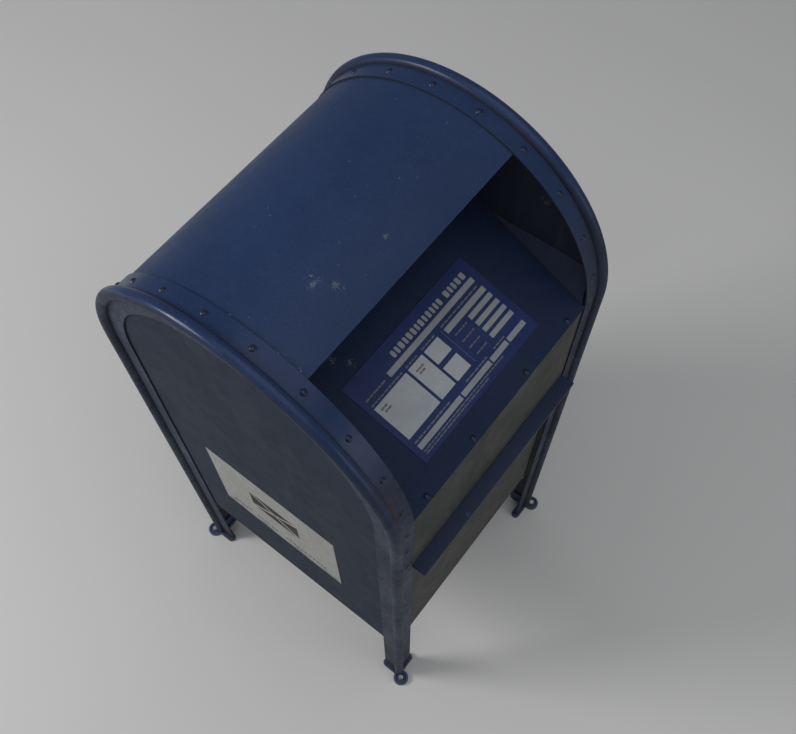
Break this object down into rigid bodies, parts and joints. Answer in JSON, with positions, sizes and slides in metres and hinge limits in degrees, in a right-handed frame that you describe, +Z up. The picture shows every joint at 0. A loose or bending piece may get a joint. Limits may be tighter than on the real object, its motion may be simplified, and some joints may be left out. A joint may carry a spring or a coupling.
{
  "type": "street post box",
  "caption": "Arched sheet-steel street post box on four legs, with a hooded sloping letter plate, a slot flap and a lockable front door.",
  "frame": {"origin": "on the ground, at the centre of the footprint of the four feet", "axes": "+Z up, -Y out of the front (door and letter plate), +X to the right when looking at the back from the front along +Y"},
  "size_m": [0.512, 0.554, 1.171],
  "materials": {
    "blue_paint": "satin weathered navy-blue enamel",
    "dark_paint": "unlit inner enamel, matt",
    "sheltered_paint": "scuffed inner enamel",
    "zinc_steel": "zinc plated",
    "lock_brass": "dull brass",
    "cast_feet": "painted casting",
    "notice": "printed gloss film on sheet",
    "badge": "printed film"
  },
  "bodies": {
    "cabinet": {"arch_rim_left": "blue_paint", "arch_rim_right": "blue_paint", "back_leg_left": "blue_paint", "back_leg_right": "blue_paint", "back_sheet": "blue_paint", "baffle_plate": "dark_paint", "door_jamb_left": "blue_paint", "door_jamb_right": "blue_paint", "door_sill": "blue_paint", "drip_ledge": "blue_paint", "flap_pin": "zinc_steel", "floor_pan": "dark_paint", "foot_back_left": "cast_feet", "foot_back_right": "cast_feet", "foot_front_left": "cast_feet", "foot_front_right": "cast_feet", "front_apron": "blue_paint", "front_leg_left": "blue_paint", "front_leg_right": "blue_paint", "hinge_pin_bottom": "zinc_steel", "hinge_pin_top": "zinc_steel", "hood_sheet": "blue_paint", "hopper_back": "dark_paint", "hopper_cheek_left": "sheltered_paint", "hopper_cheek_right": "sheltered_paint", "hopper_plate": "blue_paint", "hopper_side_left": "sheltered_paint", "hopper_side_right": "sheltered_paint", "notice_plate": "notice", "plate_rivets": "blue_paint", "rim_rivets_left": "blue_paint", "rim_rivets_right": "blue_paint", "seam_rivets": "blue_paint", "side_badge_left": "badge", "side_badge_right": "badge", "side_panel_left": "blue_paint", "side_panel_right": "blue_paint", "thrust_washer": "zinc_steel"},
    "access_door": {"access_door": "blue_paint", "door_stiffener": "dark_paint", "hinge_block_top": "zinc_steel", "hinge_block_bottom": "zinc_steel", "lock_escutcheon": "zinc_steel", "lock_housing": "lock_brass", "lock_nut": "zinc_steel", "rod_guide_upper": "zinc_steel", "rod_guide_lower": "zinc_steel", "cover_rivet": "zinc_steel"},
    "lock_core": {"lock_plug": "lock_brass", "crank_disc": "zinc_steel"},
    "rod_up": {"locking_rod_upper": "zinc_steel"},
    "rod_down": {"locking_rod_lower": "zinc_steel"},
    "cover": {"keyhole_cover": "zinc_steel"},
    "flap": {"slot_flap": "zinc_steel"}
  },
  "joints": [
    {"name": "door_hinge", "type": "hinge", "parent": "cabinet", "child": "access_door", "pos_m": [0.1895, -0.236, 0.477], "axis": [0, 0, 1], "range_deg": [0, 95]},
    {"name": "lock_turn", "type": "hinge", "parent": "access_door", "child": "lock_core", "pos_m": [-0.15, -0.23, 0.64], "axis": [0, -1, 0], "range_deg": [0, 90]},
    {"name": "rod_up_slide", "type": "slide", "parent": "access_door", "child": "rod_up", "axis": [0, 0, 1], "range_m": [0, 0.01273]},
    {"name": "rod_down_slide", "type": "slide", "parent": "access_door", "child": "rod_down", "axis": [0, 0, -1], "range_m": [0, 0.01272]},
    {"name": "cover_swing", "type": "hinge", "parent": "access_door", "child": "cover", "pos_m": [-0.15, -0.246, 0.664], "axis": [0, 1, 0], "range_deg": [-110, 110]},
    {"name": "flap_hinge", "type": "hinge", "parent": "cabinet", "child": "flap", "pos_m": [0, -0.024, 1.02428], "axis": [1, 0, 0], "range_deg": [0, 75]}
  ],
  "couplings": [
    {"joint": "lock_turn", "follows": "rod_down_slide", "rad_per_m": 123.46},
    {"joint": "rod_up_slide", "follows": "rod_down_slide", "ratio": 1}
  ]
}
